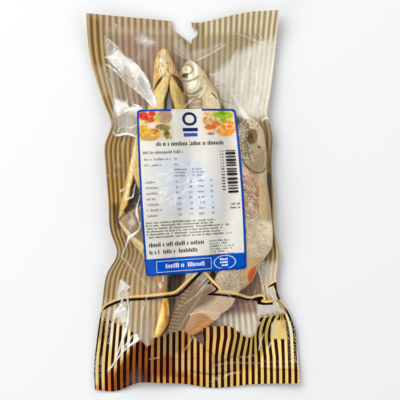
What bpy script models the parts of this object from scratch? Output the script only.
"""A vacuum pack of dried fish, lying on its back: one sealed pouch and the label stuck on it.

+Z is up, +X runs across the pack and +Y towards the end that hangs.  The pouch gets its form as
the real one does: its front film is drawn down by the vacuum over three fish, and held along
its seals.  Lengths are in millimetres until a mesh is made.
"""
import bmesh
import bpy
import numpy as np

MM = 0.001

# Outline of the pouch as it lies, drawn in by the vacuum.  Sides: (y, x).  Ends: (x, y).
LEFT_EDGE = (
    (-147.0, -76.2), (-132.0, -77.0), (-106.0, -74.6), (-78.0, -70.4), (-55.0, -66.3),
    (-42.5, -59.2), (-22.0, -64.5), (0.0, -65.8), (26.0, -67.9), (44.0, -68.6), (60.0, -63.4),
    (75.0, -69.0), (95.0, -75.5), (112.0, -80.0), (128.0, -82.0), (146.2, -82.9),
)
RIGHT_EDGE = (
    (-142.0, 82.9), (-117.0, 81.5), (-98.0, 79.3), (-86.0, 74.4), (-71.5, 66.1), (-61.0, 65.3),
    (-40.0, 67.0), (-23.0, 63.7), (0.0, 63.1), (33.0, 61.3), (50.0, 62.2), (67.0, 58.1),
    (85.0, 60.5), (117.0, 64.2), (148.2, 66.8),
)
TOP_EDGE = (
    (-82.9, 146.2), (-50.0, 143.2), (-14.6, 139.9), (-1.0, 137.9), (12.6, 140.4), (28.9, 144.3),
    (45.2, 147.3), (66.8, 148.2),
)
BOTTOM_EDGE = (
    (-76.2, -147.0), (-59.4, -148.2), (-42.6, -141.6), (-25.5, -141.8), (-5.3, -142.6),
    (12.6, -145.5), (48.0, -142.7), (82.9, -142.0),
)
FILM_THICKNESS = 0.8

# The slot that the pack hangs by, at the middle of the top edge, torn open upwards
HANG_SLOT = (
    (-15.6, 142.0), (-16.2, 136.6), (-15.0, 133.0), (-11.2, 130.3), (-1.2, 122.4), (-0.9, 125.8),
    (2.4, 127.7), (3.9, 130.3), (3.4, 132.3), (0.7, 133.5), (-0.9, 135.4), (-1.9, 142.0),
)

# How far the rim stands off what the pack lies on.  Sides: (y, lift).  Ends: (x, lift).
LEFT_LIFT = (
    (-147.0, 0.5), (-110.0, 1.5), (-75.0, 4.0), (-42.0, 6.5), (0.0, 5.5), (60.0, 7.0),
    (100.0, 4.0), (146.2, 1.0),
)
RIGHT_LIFT = (
    (-142.0, 1.0), (-100.0, 2.5), (-70.0, 5.0), (-20.0, 6.5), (40.0, 6.5), (67.0, 7.0),
    (110.0, 5.0), (148.2, 3.0),
)
TOP_LIFT = ((-82.9, 8.0), (-50.0, 5.0), (-10.0, 2.0), (15.0, 2.5), (40.0, 6.0), (66.8, 10.0))
BOTTOM_LIFT = (
    (-76.2, 1.0), (-59.0, 0.6), (-38.0, 5.5), (-20.0, 4.0), (12.0, 0.6), (45.0, 2.0), (82.9, 4.0),
)
SIDE_CURL = 26.0
TOP_CURL = 48.0
BOTTOM_CURL = 38.0

# Bands where the front film is sealed to the back film
SIDE_SEAL = 4.0
TOP_SEAL = 14.0
BOTTOM_SEAL = 15.0

# The fish inside, head first: x, y, half the body's width as it lies, height of its upper side
FISH_BELLY_UP = (
    (-22.6, 116.0, 3.5, 12.0), (-21.6, 104.9, 8.5, 17.0), (-18.5, 83.0, 13.0, 21.0),
    (-21.6, 55.0, 21.0, 21.5), (-28.6, 20.0, 23.0, 21.5), (-33.3, -11.0, 23.0, 19.0),
    (-31.7, -34.0, 15.0, 13.5), (-26.3, -57.5, 7.0, 9.0), (-24.7, -77.0, 5.0, 6.0),
    (-24.7, -104.0, 6.0, 3.5),
)
FISH_MIDDLE = (
    (-3.7, 106.0, 5.5, 11.0), (1.7, 94.0, 11.5, 16.5), (7.9, 74.0, 15.5, 18.5),
    (10.3, 40.0, 20.0, 20.0), (10.3, 0.0, 19.0, 19.5), (8.7, -34.0, 14.0, 15.5),
    (5.6, -61.0, 9.0, 11.0), (-3.7, -85.0, 10.0, 6.0), (-11.5, -100.0, 10.0, 3.5),
)
FISH_RIGHT = (
    (47.6, 62.0, 7.0, 10.0), (48.3, 43.5, 11.0, 15.0), (47.6, 16.0, 13.0, 17.5),
    (45.4, -15.0, 15.5, 17.5), (40.6, -42.0, 14.0, 14.0), (28.9, -64.0, 9.0, 10.0),
    (14.9, -81.0, 9.0, 7.0), (5.6, -99.0, 9.0, 4.0),
)
FISH = (FISH_BELLY_UP, FISH_MIDDLE, FISH_RIGHT)
STATIONS_ALONG_FISH = 90

# Folds that stand up in the front film: start x and y, end x and y, height, half width
FOLDS = (
    (-69.0, 128.0, -28.0, 73.0, 2.2, 5.0),
    (-66.0, 106.0, -61.0, 76.0, 1.8, 4.0),
    (24.0, 91.0, 43.0, 64.0, 2.2, 4.5),
    (53.0, 123.0, 16.0, 98.0, 1.6, 4.5),
    (-42.0, -6.0, -41.0, -22.0, 1.6, 4.0),
    (-41.0, -22.0, -56.0, -42.0, 1.6, 4.0),
    (-56.0, -42.0, -35.0, -70.0, 1.6, 4.0),
    (-44.0, -106.0, -65.0, -133.0, 1.6, 4.5),
)

# How hard the vacuum draws the film down, against the pull along the film, per millimetre
SUCTION = 0.05
SETTLING_ROUNDS = 1500

# The pouch's facets
CELLS_ACROSS = 33
CELLS_ALONG = 60

# The label: its corners from the upper left, clockwise, and how it lies on the film
LABEL_CORNERS = ((-43.4, 70.7), (33.2, 71.5), (41.7, -52.4), (-36.4, -58.7))
LABEL_CORNER_RADIUS = 3.0
LABEL_CORNER_STEPS = 4
LABEL_THICKNESS = 0.4
LABEL_GAP = 0.36

# Half the height of what cuts the slot and the label's outline
CUTTER_REACH = 60.0


def smooth_line(points, where):
    """Values of a smooth line through (place, value) points, read at the places in where."""
    place, value = np.array(points).T
    slope = np.gradient(value, place)
    step = np.clip(np.searchsorted(place, where) - 1, 0, len(place) - 2)
    span = place[step + 1] - place[step]
    t = (where - place[step]) / span
    start = value[step] * (1 + 2 * t) * (1 - t) ** 2 + slope[step] * span * t * (1 - t) ** 2
    end = value[step + 1] * t * t * (3 - 2 * t) - slope[step + 1] * span * t * t * (1 - t)
    return start + end


def edge_places(points, share):
    """Places along an edge, where share runs from 0 at its first point to 1 at its last."""
    return points[0][0] + share * (points[-1][0] - points[0][0])


def pouch_plan(across, along):
    """X and Y on the pouch, blended from its four edges, for shares across and along it."""
    left_y = edge_places(LEFT_EDGE, along)
    right_y = edge_places(RIGHT_EDGE, along)
    top_x = edge_places(TOP_EDGE, across)
    bottom_x = edge_places(BOTTOM_EDGE, across)
    left = np.array((smooth_line(LEFT_EDGE, left_y), left_y))
    right = np.array((smooth_line(RIGHT_EDGE, right_y), right_y))
    top = np.array((top_x, smooth_line(TOP_EDGE, top_x)))
    bottom = np.array((bottom_x, smooth_line(BOTTOM_EDGE, bottom_x)))
    corners = [np.array(corner).reshape(2, *(1,) * across.ndim) for corner in
               (BOTTOM_EDGE[0], BOTTOM_EDGE[-1], TOP_EDGE[0], TOP_EDGE[-1])]
    low = corners[0] * (1 - across) + corners[1] * across
    high = corners[2] * (1 - across) + corners[3] * across
    return ((1 - across) * left + across * right + (1 - along) * bottom + along * top
            - (1 - along) * low - along * high)


def back_film(across, along):
    """Height of the back film: flat under the fish, curling up towards the rim."""
    width = TOP_EDGE[-1][0] - TOP_EDGE[0][0]
    length = TOP_EDGE[0][1] - BOTTOM_EDGE[0][1]
    left = smooth_line(LEFT_LIFT, edge_places(LEFT_LIFT, along))
    right = smooth_line(RIGHT_LIFT, edge_places(RIGHT_LIFT, along))
    top = smooth_line(TOP_LIFT, edge_places(TOP_LIFT, across))
    bottom = smooth_line(BOTTOM_LIFT, edge_places(BOTTOM_LIFT, across))
    return (left * np.clip(1 - across * width / SIDE_CURL, 0, 1) ** 2
            + right * np.clip(1 - (1 - across) * width / SIDE_CURL, 0, 1) ** 2
            + top * np.clip(1 - (1 - along) * length / TOP_CURL, 0, 1) ** 2
            + bottom * np.clip(1 - along * length / BOTTOM_CURL, 0, 1) ** 2)


def fish_top(stations, x, y):
    """Height of one fish over the plan: the envelope of round sections along its body."""
    share = np.linspace(0, len(stations) - 1, STATIONS_ALONG_FISH)
    columns = np.array(stations).T
    body = [np.interp(share, np.arange(len(stations)), column) for column in columns]
    top = np.zeros_like(x)
    for centre_x, centre_y, half_width, height in zip(*body):
        off = ((x - centre_x) ** 2 + (y - centre_y) ** 2) / half_width ** 2
        top = np.maximum(top, height * np.sqrt(np.clip(1 - off, 0, 1)))
    return top


def fold_rise(x, y):
    """How far the folds lift the front film over the plan."""
    rise = np.zeros_like(x)
    for start_x, start_y, end_x, end_y, height, half_width in FOLDS:
        run_x, run_y = end_x - start_x, end_y - start_y
        share = ((x - start_x) * run_x + (y - start_y) * run_y) / (run_x ** 2 + run_y ** 2)
        share = np.clip(share, 0, 1)
        off = np.hypot(x - start_x - share * run_x, y - start_y - share * run_y)
        rise = np.maximum(rise, height * np.exp(-(off / half_width) ** 2))
    return rise


def front_film(across, along, x, y, back):
    """Height of the front film, settled between the fish, the back film and the seals."""
    width = TOP_EDGE[-1][0] - TOP_EDGE[0][0]
    length = TOP_EDGE[0][1] - BOTTOM_EDGE[0][1]
    sealed = ((across * width < SIDE_SEAL) | ((1 - across) * width < SIDE_SEAL)
              | ((1 - along) * length < TOP_SEAL) | (along * length < BOTTOM_SEAL))
    rest = back + FILM_THICKNESS
    for stations in FISH:
        rest = np.maximum(rest, fish_top(stations, x, y) + FILM_THICKNESS)
    rest = np.where(sealed, back + FILM_THICKNESS, rest)
    film = rest.copy()
    cell = length / CELLS_ALONG
    draw = SUCTION * cell ** 2 / 4
    for _ in range(SETTLING_ROUNDS):
        around = film[2:, 1:-1] + film[:-2, 1:-1] + film[1:-1, 2:] + film[1:-1, :-2]
        film[1:-1, 1:-1] = np.maximum(around / 4 - draw, rest[1:-1, 1:-1])
        film = np.where(sealed, rest, film)
    return film + np.where(sealed, 0, fold_rise(x, y))


def closed_sheet(x, y, upper, lower):
    """A closed solid between two height fields over the plan, both split into like triangles."""
    solid = bmesh.new()
    bmesh.ops.create_grid(solid, x_segments=CELLS_ACROSS, y_segments=CELLS_ALONG, size=1.0)
    corner = solid.verts.layers.int.new("corner")
    for vert in solid.verts:
        column = round((vert.co.x + 1) / 2 * CELLS_ACROSS)
        row = round((vert.co.y + 1) / 2 * CELLS_ALONG)
        vert[corner] = row * (CELLS_ACROSS + 1) + column
        vert.co = (x[row, column] * MM, y[row, column] * MM, upper[row, column] * MM)
    bmesh.ops.triangulate(solid, faces=solid.faces[:], quad_method='ALTERNATE')
    grown = bmesh.ops.extrude_face_region(solid, geom=solid.faces[:])
    for item in grown["geom"]:
        if isinstance(item, bmesh.types.BMVert):
            item.co.z = lower.flat[item[corner]] * MM
    bmesh.ops.recalc_face_normals(solid, faces=solid.faces[:])
    return solid


def mesh_object(name, solid, material):
    """Puts a bmesh into the scene as a named object of one material."""
    mesh = bpy.data.meshes.new(name)
    solid.to_mesh(mesh)
    solid.free()
    thing = bpy.data.objects.new(name, mesh)
    bpy.context.collection.objects.link(thing)
    mesh.materials.append(material)
    return thing


def plain_material(name, colour, roughness):
    """A Principled material of one colour."""
    material = bpy.data.materials.new(name)
    material.use_nodes = True
    shader = material.node_tree.nodes["Principled BSDF"]
    shader.inputs["Base Color"].default_value = (*colour, 1.0)
    shader.inputs["Roughness"].default_value = roughness
    shader.inputs["Metallic"].default_value = 0.0
    return material


def prism(name, outline, low, high):
    """An upright cutter with the given outline, hidden from the finished model."""
    solid = bmesh.new()
    ring = [solid.verts.new((x * MM, y * MM, low * MM)) for x, y in outline]
    base = solid.faces.new(ring)
    grown = bmesh.ops.extrude_face_region(solid, geom=[base])
    for item in grown["geom"]:
        if isinstance(item, bmesh.types.BMVert):
            item.co.z = high * MM
    bmesh.ops.recalc_face_normals(solid, faces=solid.faces[:])
    cutter = mesh_object(name, solid, plain_material(name, (0.5, 0.5, 0.5), 0.5))
    cutter.hide_render = True
    cutter.display_type = 'WIRE'
    return cutter


def cut(thing, cutter, operation):
    """Adds a Boolean of the cutter to an object."""
    boolean = thing.modifiers.new(cutter.name, 'BOOLEAN')
    boolean.operation = operation
    boolean.solver = 'EXACT'
    boolean.object = cutter


def rounded_outline(corners, radius, steps):
    """The corners' polygon with an arc of the given radius in place of each corner."""
    outline = []
    for index, corner in enumerate(corners):
        here = np.array(corner)
        before = np.array(corners[index - 1]) - here
        after = np.array(corners[(index + 1) % len(corners)]) - here
        start = here + before / np.linalg.norm(before) * radius
        end = here + after / np.linalg.norm(after) * radius
        for t in np.linspace(0, 1, steps + 1):
            point = start * (1 - t) ** 2 + here * 2 * t * (1 - t) + end * t * t
            outline.append(tuple(point))
    return outline


def build_pouch(x, y, front, back):
    """The sealed pouch, front and back film as one solid out to its edge, with its slot."""
    film = plain_material("striped_film", (0.62, 0.50, 0.33), 0.25)
    pouch = mesh_object("pouch", closed_sheet(x, y, front, back), film)
    cut(pouch, prism("slot_cutter", HANG_SLOT, -CUTTER_REACH, CUTTER_REACH), 'DIFFERENCE')


def build_label(x, y, front):
    """The stuck-on label, following the film under it at an even gap."""
    paper = plain_material("label_film", (0.86, 0.85, 0.82), 0.35)
    under = front + LABEL_GAP
    label = mesh_object("label", closed_sheet(x, y, under + LABEL_THICKNESS, under), paper)
    outline = rounded_outline(LABEL_CORNERS, LABEL_CORNER_RADIUS, LABEL_CORNER_STEPS)
    cut(label, prism("label_cutter", outline, -CUTTER_REACH, CUTTER_REACH), 'INTERSECT')


def build_pack():
    """The whole pack."""
    for thing in list(bpy.data.objects):
        bpy.data.objects.remove(thing)
    along, across = np.meshgrid(np.linspace(0, 1, CELLS_ALONG + 1),
                                np.linspace(0, 1, CELLS_ACROSS + 1), indexing='ij')
    x, y = pouch_plan(across, along)
    back = back_film(across, along)
    front = front_film(across, along, x, y, back)
    build_pouch(x, y, front, back)
    build_label(x, y, front)


build_pack()
